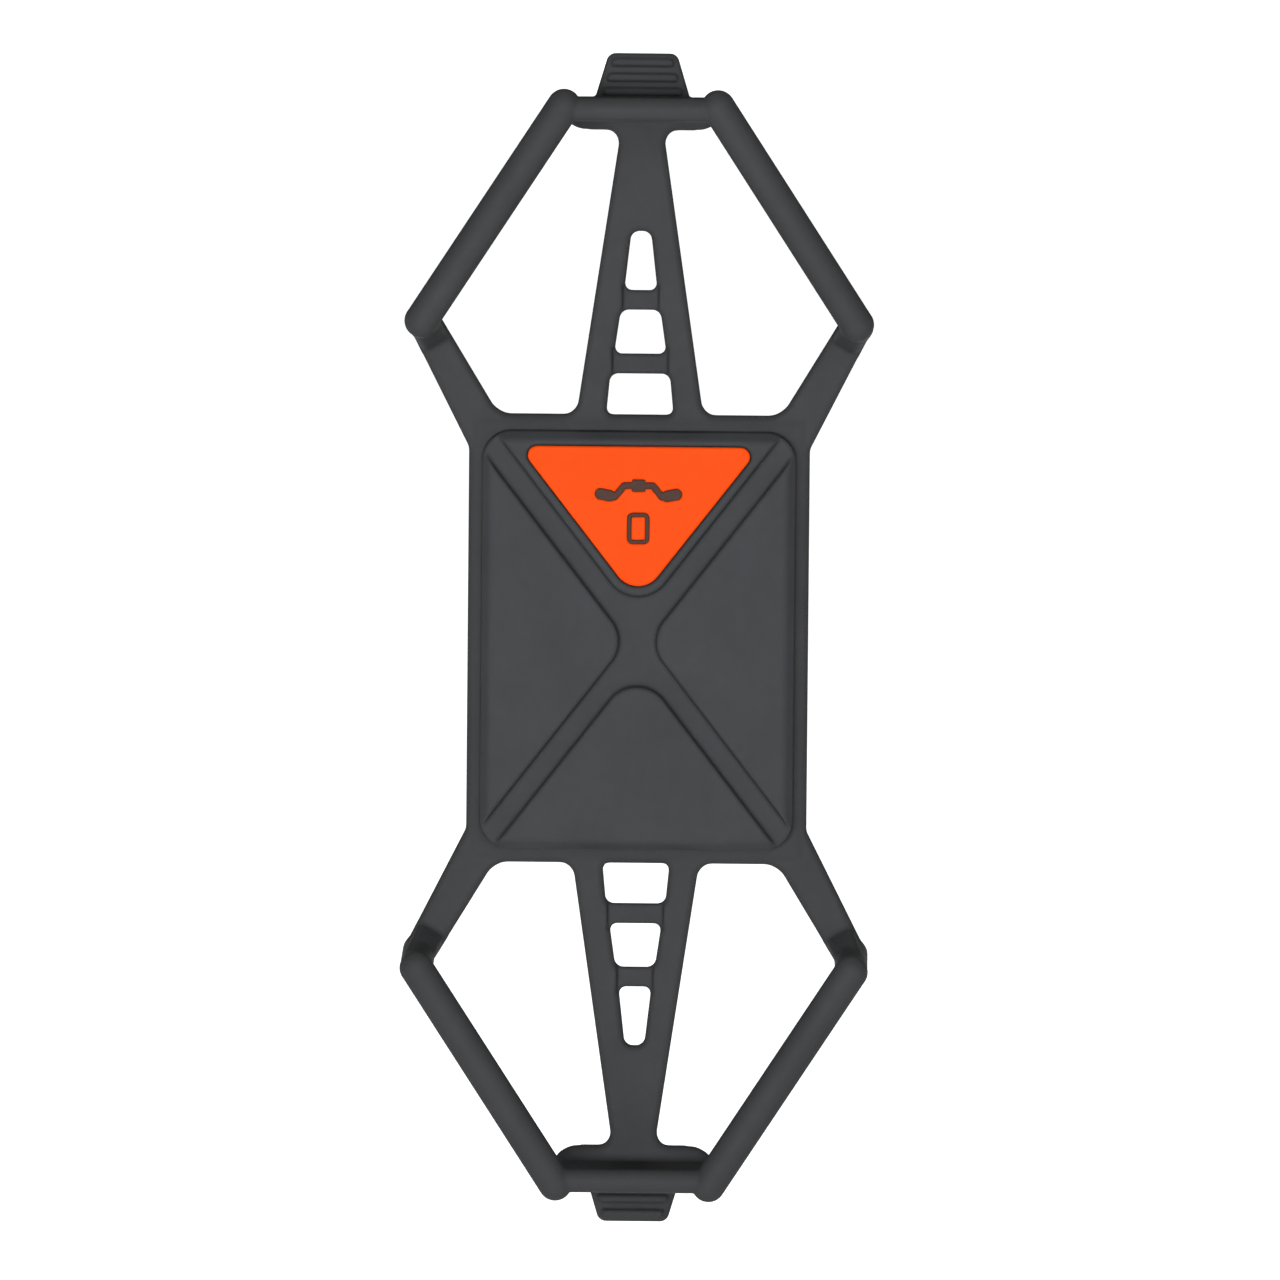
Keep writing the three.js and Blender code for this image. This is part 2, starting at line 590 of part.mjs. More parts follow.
function pullTab() {
  const rootZ = LEDGE_Z[1] + GAP;
  const outline = roundedOutline([
    [-TAB.rootHalfX, rootZ, 0],
    [TAB.rootHalfX, rootZ, 0],
    [TAB.endHalfX, TAB_END_Z, TAB.cornerR],
    [-TAB.endHalfX, TAB_END_Z, TAB.cornerR],
  ]);
  const grooves = [0, 1].map((row) =>
    barX(TAB.grooveR, -CUTTER, CUTTER, STRAP_BACK_Y - STRAP_THICK, TAB.firstGrooveZ + row * TAB.groovePitch, 10),
  );
  return cut(plate(outline, STRAP_BACK_Y, STRAP_THICK), ...grooves);
}

// The lower loop is the upper one turned half a turn about Y.
function endLoop(end) {
  const loop = new THREE.Group();
  if (end === "lower") loop.rotation.y = Math.PI;
  const handed = end === "lower" ? { left: 1, right: -1 } : { left: -1, right: 1 };
  add(`${end}_ladder_strap`, ladderStrap(), silicone(), loop);
  for (const [hand, side] of Object.entries(handed)) {
    add(`${end}_${hand}_side_strap`, sideStrap(side), silicone(), loop);
    add(`${end}_${hand}_post`, cornerPost(side), silicone(), loop);
    add(`${end}_${hand}_tube`, roundTube(side), silicone(), loop);
  }
  add(`${end}_neck_web`, neckWeb(), silicone(), loop);
  add(`${end}_ledge`, ledge(), silicone(), loop);
  add(`${end}_crossbar`, crossbar(), silicone(), loop);
  add(`${end}_pull_tab`, pullTab(), silicone(), loop);
  return loop;
}

mount.add(endLoop("upper"), endLoop("lower"));

export default mount;
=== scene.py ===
# %% [markdown]
# # Phone handlebar mount
#
# A stretchy silicone harness that holds a phone on a handlebar. The harness is one soft moulding:
# a frame, straps running out from it, posts that come forward round the phone's edges, and round
# tubes that cross its corners. A stiff swivelling base behind the frame is strapped to the bar.
#
# The scene is in metres, with +Z up, the phone side facing -Y and the handlebar's axis along X
# through the origin. Shapes are worked out in millimetres, as on the maker's drawing.

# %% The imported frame
import math

import bmesh
import bpy
import numpy as np
from mathutils import Matrix, Vector


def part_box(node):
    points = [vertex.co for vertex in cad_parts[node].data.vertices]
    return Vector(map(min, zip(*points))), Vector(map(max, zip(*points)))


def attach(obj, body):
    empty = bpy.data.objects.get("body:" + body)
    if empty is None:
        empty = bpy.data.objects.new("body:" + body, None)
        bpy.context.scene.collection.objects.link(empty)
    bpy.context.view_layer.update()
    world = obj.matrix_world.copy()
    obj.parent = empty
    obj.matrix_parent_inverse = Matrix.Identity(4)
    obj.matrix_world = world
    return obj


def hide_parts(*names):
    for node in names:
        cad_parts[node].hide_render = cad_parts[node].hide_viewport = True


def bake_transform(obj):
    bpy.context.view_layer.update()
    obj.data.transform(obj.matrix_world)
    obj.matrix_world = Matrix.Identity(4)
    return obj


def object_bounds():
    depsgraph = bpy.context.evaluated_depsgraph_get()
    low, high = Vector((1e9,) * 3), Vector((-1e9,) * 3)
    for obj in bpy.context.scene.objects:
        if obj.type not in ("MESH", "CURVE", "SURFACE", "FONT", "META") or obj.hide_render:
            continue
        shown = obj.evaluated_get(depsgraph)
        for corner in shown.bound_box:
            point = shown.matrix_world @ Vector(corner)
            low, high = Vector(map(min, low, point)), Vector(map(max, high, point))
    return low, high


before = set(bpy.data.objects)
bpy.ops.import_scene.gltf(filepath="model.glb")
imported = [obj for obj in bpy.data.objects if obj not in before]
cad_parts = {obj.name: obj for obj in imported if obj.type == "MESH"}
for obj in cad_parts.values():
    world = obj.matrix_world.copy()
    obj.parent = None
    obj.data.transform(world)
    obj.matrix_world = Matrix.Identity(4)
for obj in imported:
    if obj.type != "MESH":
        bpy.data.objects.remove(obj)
cad_low, cad_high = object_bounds()
MM = 0.001
print("CAD box in mm:", [round(v / MM, 1) for v in cad_high - cad_low])


def box_mm(node):
    """A CAD node's lowest and highest corner, in millimetres."""
    low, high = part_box(node)
    return np.array(low) / MM, np.array(high) / MM


# %% [markdown]
# ## Camera
#
# A product shot from far away with a long lens, a few degrees above level, so that the round
# tubes in front sit a little lower than the straps behind them.

# %% Camera
CAMERA_AZIMUTH = 0.8
CAMERA_ELEVATION = 4.6
CAMERA_ROLL = 0.5
CAMERA_DISTANCE = 2.4
VIEW_WIDTH = 0.1792
SENSOR_WIDTH_MM = 36
CLIP_END = 50
AIM = Vector((0.0003, -0.0322, -0.00016))


def add_camera():
    data = bpy.data.cameras.new("camera")
    camera = bpy.data.objects.new("camera", data)
    bpy.context.scene.collection.objects.link(camera)
    azimuth, elevation = math.radians(CAMERA_AZIMUTH), math.radians(CAMERA_ELEVATION)
    away = Vector((
        math.sin(azimuth) * math.cos(elevation),
        -math.cos(azimuth) * math.cos(elevation),
        math.sin(elevation),
    ))
    roll = Matrix.Rotation(math.radians(CAMERA_ROLL), 3, "Z").to_quaternion()
    camera.location = AIM + away * CAMERA_DISTANCE
    camera.rotation_mode = "QUATERNION"
    camera.rotation_quaternion = away.to_track_quat("Z", "Y") @ roll
    data.sensor_width = SENSOR_WIDTH_MM
    data.lens = data.sensor_width * CAMERA_DISTANCE / VIEW_WIDTH
    data.clip_end = CLIP_END
    bpy.context.scene.camera = camera
    return camera


camera = add_camera()
print("camera lens in mm:", round(camera.data.lens))


# %% [markdown]
# ## Shapes as distances
#
# A moulded part has no sharp edges: every strap, post and tube runs into the next one with a small
# fillet, and every edge is rounded. It could be made with bevels and subdivision surfaces, but
# four kinds of branch meeting in one corner are hard to keep smooth that way. Here a shape is a
# function that gives each point's distance from its surface, negative inside. Joining two such
# shapes with a fillet, or cutting one with a rounded edge, is then a short formula.

# %% Distances
def hypot(a, b):
    return np.sqrt(a * a + b * b)


def join(a, b, fillet):
    """Both shapes, with a fillet of that radius where they meet."""
    inside = hypot(np.maximum(fillet - a, 0), np.maximum(fillet - b, 0))
    return np.maximum(fillet, np.minimum(a, b)) - inside


def common(a, b, edge, lean=0.0):
    """What two shapes share, with a round edge. lean is the cosine between their outward normals."""
    a, b = a + edge, b + edge
    around = np.sqrt(np.maximum(a * a + b * b - 2 * lean * a * b, 0) / (1 - lean * lean))
    return np.where((a > lean * b) & (b > lean * a), around, np.maximum(a, b)) - edge


def cut(a, b, edge):
    """The first shape without the second, its new edge rounded."""
    return common(a, -b, edge)


def convex(a, b, corners, radius):
    """The flat outline through corner points, listed anticlockwise, with round corners."""
    shape = None
    for (a1, b1), (a2, b2) in zip(corners, corners[1:] + corners[:1]):
        length = math.hypot(a2 - a1, b2 - b1)
        side = ((a - a1) * (b2 - b1) - (b - b1) * (a2 - a1)) / length
        shape = side if shape is None else common(shape, side, radius)
    return shape


def slab(outline, depth, middle, half, edge):
    """A flat outline given thickness, with round edges."""
    return common(outline, np.abs(depth - middle) - half, edge)


def rod(point, start, end, radius):
    """A round rod with round ends."""
    start, end = np.array(start, float), np.array(end, float)
    along = end - start
    offset = [p - s for p, s in zip(point, start)]
    share = sum(o * a for o, a in zip(offset, along)) / along.dot(along)
    share = np.clip(share, 0, 1)
    return np.sqrt(sum((o - share * a) ** 2 for o, a in zip(offset, along))) - radius


# %% [markdown]
# ### From a distance to a mesh
#
# The distance is sampled on a fine grid. Each grid cell that the surface passes through gets one
# vertex, at the average of the places where the surface crosses the cell's edges, and the four
# cells round each crossed edge make one face. Each vertex is then moved onto the exact surface.

# %% Meshing
CELL_CORNERS = [np.array([i, j, k]) for i in (0, 1) for j in (0, 1) for k in (0, 1)]
CELL_EDGES = [
    (p, q) for p in CELL_CORNERS for q in CELL_CORNERS if (q - p).sum() == 1 and ((q - p) >= 0).all()
]
SETTLE_STEPS, PROBE, LEAST_STEEPNESS = 3, 0.02, 0.25


def cell_vertices(values, cells):
    """Each cell's vertex, in grid steps."""
    total = np.zeros((len(cells), 3))
    crossings = np.zeros(len(cells))
    for p, q in CELL_EDGES:
        at_p = values[tuple((cells + p).T)]
        at_q = values[tuple((cells + q).T)]
        crossed = (at_p < 0) != (at_q < 0)
        share = np.where(crossed, at_p / np.where(crossed, at_p - at_q, 1), 0)
        total += np.where(crossed[:, None], p + share[:, None] * (q - p), 0)
        crossings += crossed
    return cells + total / crossings[:, None]


def cell_faces(inside, index):
    """One face round each grid edge that the surface crosses, its corners facing out."""
    faces = []
    for axis in range(3):
        ahead = np.eye(3, dtype=int)[axis]
        beside, above = np.eye(3, dtype=int)[(axis + 1) % 3], np.eye(3, dtype=int)[(axis + 2) % 3]
        low = inside[tuple(slice(0, n - a) for n, a in zip(inside.shape, ahead))]
        high = inside[tuple(slice(a, n) for n, a in zip(inside.shape, ahead))]
        crossed = np.argwhere(low != high)
        ring = [index[tuple((crossed - step).T)] for step in (0 * ahead, beside, beside + above, above)]
        ring = np.stack(ring, 1)
        leaving = low[tuple(crossed.T)]
        faces.append(np.where(leaving[:, None], ring, ring[:, ::-1]))
    return np.concatenate(faces)


def settle(distance, points):
    """Moves points onto the surface, along its slope."""
    for _ in range(SETTLE_STEPS):
        value = distance(*points.T)
        slope = np.stack([
            (distance(*(points + PROBE * e).T) - distance(*(points - PROBE * e).T)) / (2 * PROBE)
            for e in np.eye(3)
        ], 1)
        steepness = np.maximum((slope**2).sum(1), LEAST_STEEPNESS)
        points = points - slope * (value / steepness)[:, None]
    return points


def solid(name, distance, low, high, cell):
    """A smooth closed mesh of the shape inside a box in millimetres."""
    ticks = [np.arange(a - 2 * cell, b + 3 * cell, cell) for a, b in zip(low, high)]
    x, y, z = np.meshgrid(*ticks, indexing="ij", sparse=True)
    values = np.broadcast_to(distance(x, y, z), [len(t) for t in ticks])
    inside = values < 0
    corner_sum = sum(
        inside[tuple(slice(c, n - 1 + c) for c, n in zip(corner, inside.shape))].astype(np.int8)
        for corner in CELL_CORNERS
    )
    cells = np.argwhere((corner_sum > 0) & (corner_sum < 8))
    index = np.full(corner_sum.shape, -1, np.int64)
    index[tuple(cells.T)] = np.arange(len(cells))
    origin = np.array([t[0] for t in ticks])
    points = settle(distance, origin + cell * cell_vertices(values, cells))
    mesh = bpy.data.meshes.new(name)
    mesh.from_pydata(points * MM, [], cell_faces(inside, index))
    mesh.shade_smooth()
    thing = bpy.data.objects.new(name, mesh)
    bpy.context.scene.collection.objects.link(thing)
    print(name, "has", len(mesh.polygons), "faces")
    return thing


SAME_PLACE = 1e-7


def section(source, name, *planes, where=None):
    """The part of a mesh on the inner side of planes, each (axis, limit in mm, side), with capped ends.

    If where is given, only faces for whose centre it is true are cut away.
    """
    work = bmesh.new()
    work.from_mesh(source.data)
    for axis, limit, side in planes:
        normal = Vector((0, 0, 0))
        normal[axis] = side
        place = Vector((0, 0, 0))
        place[axis] = limit * MM
        faces = [f for f in work.faces if where is None or where(f.calc_center_median())]
        edges = list({e for f in faces for e in f.edges})
        corners = list({v for f in faces for v in f.verts})
        bmesh.ops.bisect_plane(
            work, geom=faces + edges + corners, plane_co=place, plane_no=normal,
            clear_outer=True, dist=SAME_PLACE,
        )
        rim = [e for e in work.edges if e.is_boundary]
        caps = bmesh.ops.holes_fill(work, edges=rim, sides=0)["faces"]
        for face in caps:
            face.smooth = False
            for edge in face.edges:
                edge.smooth = False
    bmesh.ops.recalc_face_normals(work, faces=work.faces[:])
    mesh = bpy.data.meshes.new(name)
    work.to_mesh(mesh)
    work.free()
    piece = bpy.data.objects.new(name, mesh)
    bpy.context.scene.collection.objects.link(piece)
    return piece


# %% [markdown]
# ## Materials
#
# The harness is matte silicone: dark grey, nearly without gloss, with the fine grain of a blasted
# mould and a faint cloudiness where the pigment is uneven. Colour, roughness and grain come from
# noise in the object's own space, so that the grain has the same size on every piece.

# %% Materials
CLOUD_SIZE, GLOSS_PATCH_SIZE, GLOSS_CHANGE = 9, 1.5, 0.05
NOISE_LOW, NOISE_HIGH = 0.3, 0.7


def surface(name, colour, roughness, specular=0.3, metallic=0.0, grain=0.0, grain_size=0.25, mottle=0.06):
    """Colour is linear, grain is the bump's depth and grain_size its size, both in millimetres."""
    material = bpy.data.materials.new(name)
    material.use_nodes = True
    tree = material.node_tree
    shader = tree.nodes["Principled BSDF"]
    shader.inputs["Metallic"].default_value = metallic
    shader.inputs["Specular IOR Level"].default_value = specular
    place = tree.nodes.new("ShaderNodeTexCoord")

    def noise(size, detail):
        node = tree.nodes.new("ShaderNodeTexNoise")
        node.inputs["Scale"].default_value = 1 / (size * MM)
        node.inputs["Detail"].default_value = detail
        tree.links.new(place.outputs["Object"], node.inputs["Vector"])
        return node.outputs["Fac"]

    def ranged(value, low, high):
        node = tree.nodes.new("ShaderNodeMapRange")
        node.inputs["From Min"].default_value = NOISE_LOW
        node.inputs["From Max"].default_value = NOISE_HIGH
        node.inputs["To Min"].default_value = low
        node.inputs["To Max"].default_value = high
        tree.links.new(value, node.inputs["Value"])
        return node.outputs["Result"]

    clouds = noise(CLOUD_SIZE, 4)
    tint = tree.nodes.new("ShaderNodeMix")
    tint.data_type = "RGBA"
    tint.inputs["A"].default_value = (*[c * (1 - mottle) for c in colour], 1)
    tint.inputs["B"].default_value = (*[min(1, c * (1 + mottle)) for c in colour], 1)
    tree.links.new(ranged(clouds, 0, 1), tint.inputs["Factor"])
    tree.links.new(tint.outputs["Result"], shader.inputs["Base Color"])
    gloss = ranged(noise(GLOSS_PATCH_SIZE, 3), roughness - GLOSS_CHANGE, roughness + GLOSS_CHANGE)
    tree.links.new(gloss, shader.inputs["Roughness"])
    if grain:
        bump = tree.nodes.new("ShaderNodeBump")
        bump.inputs["Strength"].default_value = 1
        bump.inputs["Distance"].default_value = grain * MM
        tree.links.new(noise(grain_size, 2), bump.inputs["Height"])
        tree.links.new(bump.outputs["Normal"], shader.inputs["Normal"])
    return material


silicone = surface("dark_silicone", (0.0176, 0.0180, 0.0188), 0.68, specular=0.05, grain=0.012)
panel_rubber = surface(
    "panel_rubber", (0.0181, 0.0188, 0.0203), 0.68, specular=0.05, grain=0.010, grain_size=0.2,
)
badge_orange = surface(
    "orange_plastic", (0.330, 0.0275, 0.0012), 0.5, specular=0.02, grain=0.004, mottle=0.02,
)
pictogram_grey = surface("pictogram_grey", (0.026, 0.013, 0.010), 0.6, specular=0.05, mottle=0.03)
black_plastic = surface(
    "black_plastic", (0.022, 0.0225, 0.024), 0.42, specular=0.4, grain=0.015, grain_size=0.35,
)
black_rubber = surface(
    "black_rubber", (0.015, 0.0152, 0.0156), 0.8, specular=0.25, grain=0.02, grain_size=0.3,
)
steel = surface("steel", (0.44, 0.45, 0.47), 0.32, metallic=1, grain=0.003, mottle=0.05)
brass = surface("brass", (0.58, 0.36, 0.10), 0.35, metallic=1, mottle=0.05)


def dress(thing, material):
    thing.data.materials.clear()
    thing.data.materials.append(material)
    return thing


# %% [markdown]
# ## The harness
#
# One soft moulding, symmetrical left to right and top to bottom. Flat straps 3 mm thick leave a
# slightly thicker frame. The middle one is a ladder of two legs with recessed rungs, which ends in
# a neck and a T. A wall comes forward from the T to hold the phone's end, with a round crossbar
# along its front and a ribbed tab for the finger beyond it. The side straps end in posts, and a
# round tube runs from each post to the crossbar.

# %% Harness dimensions
frame_low, frame_high = box_mm("harness_frame")
web_low, web_high = box_mm("upper_neck_web")
ledge_low, ledge_high = box_mm("upper_ledge")
bar_low, bar_high = box_mm("upper_crossbar")
tube_low, tube_high = box_mm("upper_right_tube")
_, tab_high = box_mm("upper_pull_tab")

STRAP_MIDDLE = (web_low[1] + web_high[1]) / 2
STRAP_HALF = (web_high[1] - web_low[1]) / 2
STRAP_FRONT = STRAP_MIDDLE - STRAP_HALF
FRAME_HALF = (frame_high[1] - frame_low[1]) / 2
FRAME_HALF_X, FRAME_HALF_Z, FRAME_CORNER = 23.76, frame_high[2], 1.2
OPENING_HALF_X, OPENING_HALF_Z, OPENING_CORNER = 16.8, 22.8, 4.3
FRONT = (bar_low[1] + bar_high[1]) / 2
BAR_R = (bar_high[2] - bar_low[2]) / 2
BAR_Z = (bar_low[2] + bar_high[2]) / 2
TUBE_R = (tube_high[1] - tube_low[1]) / 2
POST_R, POST_FOOT_SET_BACK = 2.3, 1.1
POST = (tube_high[0] - TUBE_R, tube_low[2] + TUBE_R)
TUBE_TOP = (tube_low[0] + TUBE_R, tube_high[2] - TUBE_R)
GUSSET_FOOT, GUSSET_TOP, GUSSET_REACH, GUSSET_INSET = 49.6, 53.4, 2.0, 0.3
WEB_Z, WEB_TOP, WEB_CORNER, WEB_SHOULDER = 71.4, ledge_high[2], 9.1, 1.4
LEDGE_HALF = ledge_high[0] + 0.2
LEG_AT, LEG_SLOPE = (8.6, 33.3), -0.148
STRAP_INNER_AT, STRAP_INNER_SLOPE = (20.93, 33.3), 0.608
STRAP_OUTER_AT, STRAP_OUTER_SLOPE = (27.14, 33.3), 0.507
STRAP_LEAN, STRAP_START_Z, STRAP_END = 0.583, 26, 55.0
CORNER_INNER_X, OUTER_CORNER_FILLET, INNER_CORNER_FILLET_MORE = 23.2, 0.25, 1.45
SLOTS = [(31.4, 37.2, 4.7, 4.15), (40.0, 46.15, 3.65, 2.75), (48.9, 57.2, 2.3, 1.35)]
LEDGE_FILLET = 1.5
RUNG_RECESS, RECESS_OVERLAP = 1.1, 0.8
STRAP_EDGE_R = 1.0
TAB_AT, TAB_SLOPE, TAB_RECESS = (6.3, 76.9), -0.3, 0.75
TAB_RIBS, RIB_HALF, RIB_STOPS_SHORT = (76.7, 78.7, 80.8), 0.55, 0.8
print("front plane in mm:", round(FRONT, 2), "tube and bar radius:", round(TUBE_R, 2), round(BAR_R, 2))


# %% Flat part of the harness
def slanted(x, z, at, slope, side):
    """Distance from a slanted edge line through (x, z) = at. Negative is on the inner side."""
    return side * (x - at[0] - (z - at[1]) * slope) / math.hypot(1, slope)


def along_strap(x, z):
    """How far a point lies along the side strap's middle line."""
    return (x * STRAP_LEAN + z) / math.hypot(STRAP_LEAN, 1)


def side_strap(x, z):
    """The strap to a corner post. Its end is round and lies under the tube's ball."""
    inner = slanted(x, z, STRAP_INNER_AT, STRAP_INNER_SLOPE, -1)
    outer = slanted(x, z, STRAP_OUTER_AT, STRAP_OUTER_SLOPE, 1)
    strap = np.maximum(np.maximum(inner, outer), STRAP_START_Z - z)
    return common(strap, along_strap(x, z) - STRAP_END, edge=2.3)


def ladder(x, z):
    """Two legs, a neck and the T-shaped web, without the slots."""
    legs = np.maximum(slanted(x, z, LEG_AT, LEG_SLOPE, 1), z - WEB_Z - 1)
    web = convex(x, z, [
        (-WEB_CORNER, WEB_Z), (WEB_CORNER, WEB_Z), (LEDGE_HALF, WEB_Z + WEB_SHOULDER),
        (LEDGE_HALF, WEB_TOP), (-LEDGE_HALF, WEB_TOP), (-LEDGE_HALF, WEB_Z + WEB_SHOULDER),
    ], radius=0.7)
    return legs, web


def flat_outline(x, z):
    """The frame, and all that lies flat with it, for positive x and z."""
    border = common(x - FRAME_HALF_X, z - FRAME_HALF_Z, edge=FRAME_CORNER)
    inside_corner = np.clip(CORNER_INNER_X - x, 0, 1)
    corner_fillet = OUTER_CORNER_FILLET + INNER_CORNER_FILLET_MORE * inside_corner
    legs, web = ladder(x, z)
    shape = join(border, side_strap(x, z), fillet=corner_fillet)
    shape = join(join(shape, legs, fillet=1.9), web, fillet=2.3)
    for low, high, low_half, high_half in SLOTS:
        corners = [(-low_half, low), (low_half, low), (high_half, high), (-high_half, high)]
        shape = cut(shape, convex(x, z, corners, radius=1.1), edge=0.1)
    return border, shape


def rung_recess(x, y, z):
    """What is missing in front of the rungs."""
    gone = None
    for (_, low, _, low_half), (high, _, high_half, _) in zip(SLOTS[:-1], SLOTS[1:]):
        half = (low_half + high_half) / 2
        beyond = np.abs(z - (low + high) / 2) - (high - low) / 2 - RECESS_OVERLAP
        band = np.maximum(np.abs(x) - half, beyond)
        band = common(band, y - STRAP_FRONT - RUNG_RECESS, edge=0.3)
        gone = band if gone is None else np.minimum(gone, band)
    return gone


# %% The harness in depth
def pull_tab(x, y, z):
    """A finger tab with three cross ribs, which stop short of its sides."""
    side = slanted(x, z, TAB_AT, TAB_SLOPE, 1)
    outline = common(side, np.maximum(z - tab_high[2], WEB_Z - z), edge=0.9)
    tab = slab(outline, y, STRAP_MIDDLE + TAB_RECESS / 2, STRAP_HALF - TAB_RECESS / 2, edge=0.6)
    for rib in TAB_RIBS:
        ridge = common(np.abs(z - rib) - RIB_HALF, np.abs(y - STRAP_MIDDLE) - STRAP_HALF, edge=0.4)
        tab = join(tab, common(ridge, side + RIB_STOPS_SHORT, edge=0.4), fillet=0.2)
    return tab


def gusset(x, y, z):
    """The side strap thickens towards its post, with a face that slopes forward."""
    lean = (FRONT + GUSSET_REACH - STRAP_FRONT) / (GUSSET_TOP - GUSSET_FOOT)
    slope = (STRAP_FRONT + lean * (along_strap(x, z) - GUSSET_FOOT) - y) / math.hypot(1, lean)
    return common(side_strap(x, z) + GUSSET_INSET, np.maximum(slope, y - STRAP_MIDDLE), edge=0.9)


def ledge(x, y, z):
    """The wall that holds the phone's end, from the web forward to the crossbar."""
    middle, half = (ledge_low[2] + ledge_high[2]) / 2, (ledge_high[2] - ledge_low[2]) / 2
    outline = common(x - LEDGE_HALF, np.abs(z - middle) - half, edge=0.9)
    return np.maximum(outline, np.maximum(y - STRAP_MIDDLE, FRONT - y))


def harness(x, y, z):
    x, z = np.abs(x), np.abs(z)
    point = (x, y, z)
    border, outline = flat_outline(x, z)
    post_foot = (POST[0], STRAP_MIDDLE, POST[1] - POST_FOOT_SET_BACK)
    corner, tube_top = (POST[0], FRONT, POST[1]), (TUBE_TOP[0], FRONT, TUBE_TOP[1])
    opening = common(x - OPENING_HALF_X, z - OPENING_HALF_Z, edge=OPENING_CORNER)
    body = slab(outline, y, STRAP_MIDDLE, STRAP_HALF, edge=STRAP_EDGE_R)
    body = cut(body, rung_recess(x, y, z), edge=0.4)
    body = join(body, slab(border, y, STRAP_MIDDLE, FRAME_HALF, edge=1.7), fillet=0.3)
    body = np.maximum(body, -opening)
    body = join(body, ledge(x, y, z), fillet=LEDGE_FILLET)
    body = join(body, pull_tab(x, y, z), fillet=0.35)
    body = join(body, gusset(x, y, z), fillet=0.6)
    body = join(body, rod(point, post_foot, corner, POST_R), fillet=0.25)
    body = join(body, rod(point, (0, FRONT, BAR_Z), (TUBE_TOP[0], FRONT, BAR_Z), BAR_R), fillet=0.3)
    return join(body, rod(point, corner, tube_top, TUBE_R), fillet=0.1)


HARNESS_CELL = 0.36
low = (cad_low.x / MM, FRONT - TUBE_R, cad_low.z / MM)
high = (cad_high.x / MM, STRAP_MIDDLE + FRAME_HALF, cad_high.z / MM)
moulding = solid("moulding", harness, low, high, HARNESS_CELL)

# %% [markdown]
# ### Where the harness is cut
#
# The moulding is cut straight across in places where both sides of the cut move together. In the real
# harness the strip at each end of the frame bends between the frame and the straps, and the middle strap
# and the two side straps stretch between the straps' roots and the loop's end, which keeps its shape. The
# frame is attached to the cradle and each loop's end to its end; the strips and straps are left
# unattached.

# %% Harness pieces
ROOT_CUT, STRAP_CUT, END_CUT, POST_CUT, SIDE_X = 30.2, 35.5, 68.2, 42.6, 11.8


def dress_silicone(piece, body, *nodes):
    dress(piece, silicone)
    if body:
        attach(piece, body)
    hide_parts(*nodes)


border = section(moulding, "frame_border", (2, ROOT_CUT, 1), (2, -ROOT_CUT, -1))
dress_silicone(border, "cradle", "harness_frame")
for end, side in (("upper", 1), ("lower", -1)):
    outward, inward = side, -side
    roots = section(
        moulding, f"{end}_strap_roots", (2, side * STRAP_CUT, outward), (2, side * ROOT_CUT, inward),
    )
    dress_silicone(roots, None)
    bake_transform(roots)

    centre_strap = section(
        moulding, f"{end}_centre_strap",
        (2, side * END_CUT, outward), (2, side * STRAP_CUT, inward), (0, SIDE_X, 1), (0, -SIDE_X, -1),
    )
    dress_silicone(centre_strap, None, f"{end}_ladder_strap")
    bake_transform(centre_strap)
    for hand, way in (("left", -1), ("right", 1)):
        strap = section(
            moulding, f"{end}_{hand}_strap",
            (2, side * POST_CUT, outward), (2, side * STRAP_CUT, inward), (0, way * SIDE_X, -way),
        )
        dress_silicone(strap, None, f"{end}_{hand}_side_strap")
        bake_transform(strap)
        corner = section(
            moulding, f"{end}_{hand}_tube_and_post",
            (2, side * POST_CUT, inward), (0, way * TUBE_TOP[0], -way),
        )
        dress_silicone(corner, f"{end}_end", f"{end}_{hand}_post", f"{end}_{hand}_tube")
    middle = section(
        moulding, f"{end}_crossbar_and_tab",
        (2, side * END_CUT, inward), (0, TUBE_TOP[0], 1), (0, -TUBE_TOP[0], -1),
    )
    dress_silicone(
        middle, f"{end}_end", f"{end}_neck_web", f"{end}_ledge", f"{end}_crossbar", f"{end}_pull_tab",
    )
bpy.data.objects.remove(moulding)

# %% [markdown]
# ## The face panel
#
# A raised rubber panel with sloping sides. An X-shaped channel crosses it from corner to corner
# and leaves four pads that the phone rests on. The channel lets the panel flex and lets water out.

# %% Face panel
panel_low, panel_high = box_mm("face_panel")
PANEL_X, PANEL_Z = panel_high[0], panel_high[2]
PANEL_BACK, PANEL_FRONT = panel_high[1], panel_low[1]
PANEL_HEIGHT = PANEL_BACK - PANEL_FRONT
WALL_SLOPE, BEVEL_FOOT, BEVEL_SLOPE = 0.1, 1.8, 0.72
PANEL_CORNER = 4.2
CHANNEL_DEPTH, CHANNEL_WALL = 1.4, 0.25
ARM = math.radians(52.2)
ARM_LEAN = math.sin(ARM) ** 2 - math.cos(ARM) ** 2
SIDE_PAD_EDGE, SIDE_PAD_TIP_R = -1.25, 4.5
END_PAD_EDGE, END_PAD_TIP_R = 2.2, 4.6
BADGE_GAP = 0.12


def pads(x, z):
    """The four pads' outlines. Negative is inside a pad."""
    across, along = x * math.sin(ARM), z * math.cos(ARM)
    beside, above = np.abs(across) + SIDE_PAD_EDGE, np.abs(along) - END_PAD_EDGE
    side_pad = common(along - beside, -along - beside, edge=SIDE_PAD_TIP_R, lean=ARM_LEAN)
    end_pad = common(across - above, -across - above, edge=END_PAD_TIP_R, lean=-ARM_LEAN)
    return np.minimum(side_pad, end_pad)


# %% Badge outline
badge_low, badge_high = box_mm("badge")
BADGE_EDGE = math.radians(52.1)
BADGE_TOP, BADGE_APEX = badge_high[2] + 0.15, 5.6
BADGE_FRONT = badge_low[1] - 0.1
BADGE_TIP_R, BADGE_CORNER_R = 3.5, 1.35


